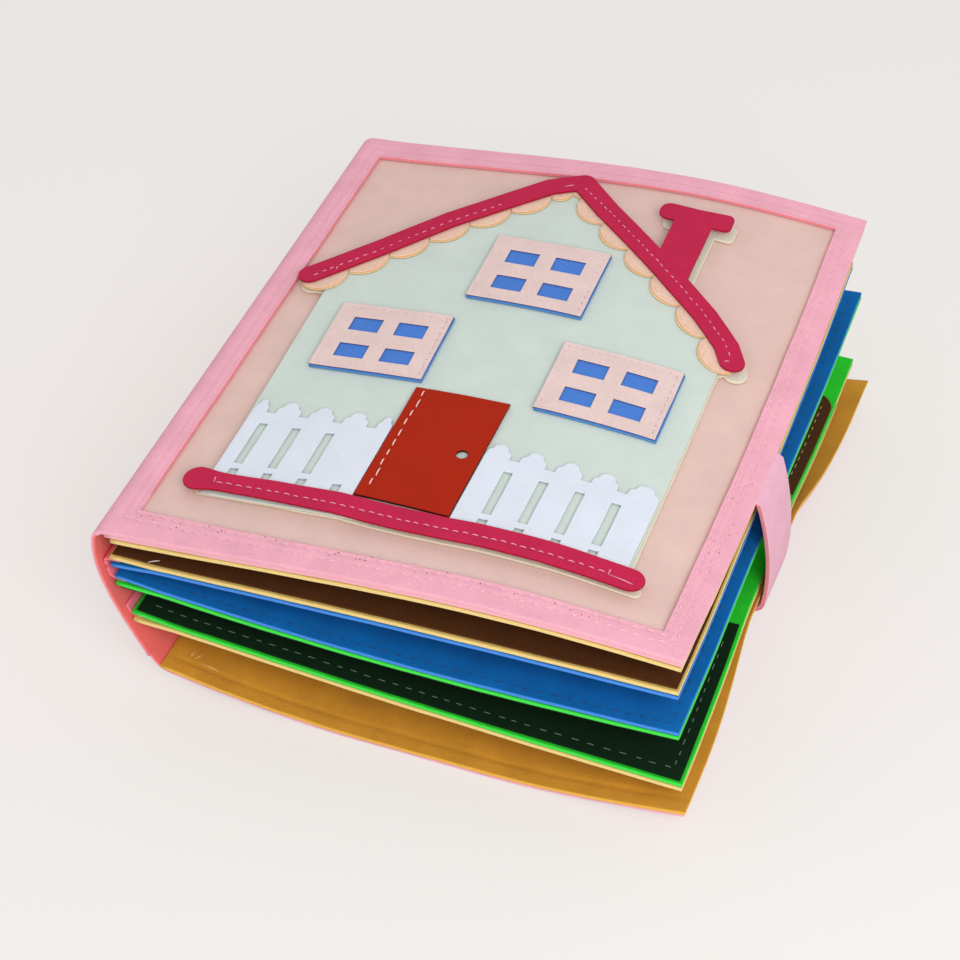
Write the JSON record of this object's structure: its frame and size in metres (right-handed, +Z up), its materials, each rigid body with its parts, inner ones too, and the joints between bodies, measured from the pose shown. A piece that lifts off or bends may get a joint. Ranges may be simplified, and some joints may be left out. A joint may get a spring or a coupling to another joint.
{
  "type": "felt quiet book",
  "caption": "Soft felt activity book with a cloth house picture on its cover, sewn cloth leaves and a wrap-round closing strap.",
  "frame": {"origin": "middle of the flat strip of the back cover's underside that the closed book lies on", "axes": "+X from the spine to the fore-edge, +Y along the spine away from the cover picture's foot, +Z up"},
  "size_m": [0.1995, 0.22, 0.0854],
  "materials": {
    "pink_felt": "pressed felt, matt, light pink",
    "gold_felt": "pressed felt, matt, golden brown",
    "yellow_felt": "pressed felt, matt, straw yellow",
    "peach_felt": "pressed felt, matt, pale peach",
    "cream_felt": "thin felt, matt, cream",
    "mint_felt": "thin felt, matt, pale mint",
    "apricot_felt": "thin felt, matt, apricot",
    "crimson_felt": "pressed felt, matt, crimson",
    "red_felt": "pressed felt, matt, brick red",
    "pale_pink_felt": "thin felt, matt, pale pink",
    "blue_felt": "pressed felt, matt, blue",
    "sky_felt": "thin felt, matt, bright blue",
    "white_felt": "thin felt, matt, white",
    "green_felt": "pressed felt, matt, bright green",
    "dark_green_felt": "thin felt, matt, very dark green",
    "brown_felt": "thin felt, matt, dark brown",
    "binding_felt": "thin felt, matt, pink",
    "hook_and_loop": "hook-and-loop tape, matt, pink"
  },
  "bodies": {
    "back_cover": {"back_cover_outer": "pink_felt", "back_cover_lining": "gold_felt", "strap_loop_patch": "hook_and_loop"},
    "spine": {"spine_panel": "pink_felt", "binding_strip_1": "binding_felt", "binding_strip_2": "binding_felt", "binding_strip_3": "binding_felt"},
    "leaf_1": {"leaf_1_binding": "binding_felt", "leaf_1_front": "yellow_felt", "leaf_1_back": "blue_felt", "leaf_1_brown_panel": "brown_felt"},
    "leaf_2": {"leaf_2_binding": "binding_felt", "leaf_2_front": "blue_felt", "leaf_2_back": "green_felt", "leaf_2_dark_panel": "dark_green_felt"},
    "leaf_3": {"leaf_3_binding": "binding_felt", "leaf_3_front": "green_felt", "leaf_3_back": "yellow_felt", "leaf_3_dark_panel": "dark_green_felt", "leaf_3_brown_patch": "brown_felt"},
    "front_cover": {"front_cover_frame": "pink_felt", "front_cover_panel": "peach_felt", "front_cover_lining": "yellow_felt", "house_backing": "cream_felt", "house_wall": "mint_felt", "roof_trim": "apricot_felt", "house_roof": "crimson_felt", "ground_bar": "crimson_felt", "window_backing_left": "sky_felt", "window_backing_top": "sky_felt", "window_backing_right": "sky_felt", "window_frame_left": "pale_pink_felt", "window_frame_top": "pale_pink_felt", "window_frame_right": "pale_pink_felt", "fence_left": "white_felt", "fence_right": "white_felt", "door_hem": "red_felt"},
    "door": {"door_flap": "red_felt"},
    "strap": {"closing_strap": "pink_felt", "strap_hook_patch": "hook_and_loop"}
  },
  "joints": [
    {"name": "spine_fold", "type": "hinge", "parent": "back_cover", "child": "spine", "pos_m": [-0.09112, 0, 0.00875], "axis": [0.025, -0.9997, 0], "range_deg": [0, 75]},
    {"name": "front_cover_fold", "type": "hinge", "parent": "spine", "child": "front_cover", "pos_m": [-0.10547, 0, 0.06945], "axis": [0.0254, -0.9988, -0.0427], "range_deg": [0, 180]},
    {"name": "leaf_1_fold", "type": "hinge", "parent": "spine", "child": "leaf_1", "pos_m": [-0.10355, 0, 0.0548], "axis": [0.0253, -0.9992, -0.0323], "range_deg": [0, 72]},
    {"name": "leaf_2_fold", "type": "hinge", "parent": "spine", "child": "leaf_2", "pos_m": [-0.10281, 0, 0.04649], "axis": [0.0252, -0.9993, -0.026], "range_deg": [0, 51]},
    {"name": "leaf_3_fold", "type": "hinge", "parent": "spine", "child": "leaf_3", "pos_m": [-0.0988, 0, 0.0306], "axis": [0.0249, -0.9996, -0.0141], "range_deg": [0, 26]},
    {"name": "strap_swing", "type": "hinge", "parent": "front_cover", "child": "strap", "pos_m": [0.08681, -0.021, 0.06788], "axis": [0, -1, 0], "range_deg": [0, 150], "deforming": ["closing_strap", "strap_hook_patch"]},
    {"name": "door_fold", "type": "hinge", "parent": "front_cover", "child": "door", "pos_m": [-0.02561, -0.0508, 0.07604], "axis": [0.0224, -0.999, -0.0382], "range_deg": [0, 130]}
  ],
  "couplings": [
    {"joint": "leaf_1_fold", "follows": "front_cover_fold", "ratio": 0.4},
    {"joint": "leaf_2_fold", "follows": "front_cover_fold", "ratio": 0.28},
    {"joint": "leaf_3_fold", "follows": "front_cover_fold", "ratio": 0.14}
  ]
}
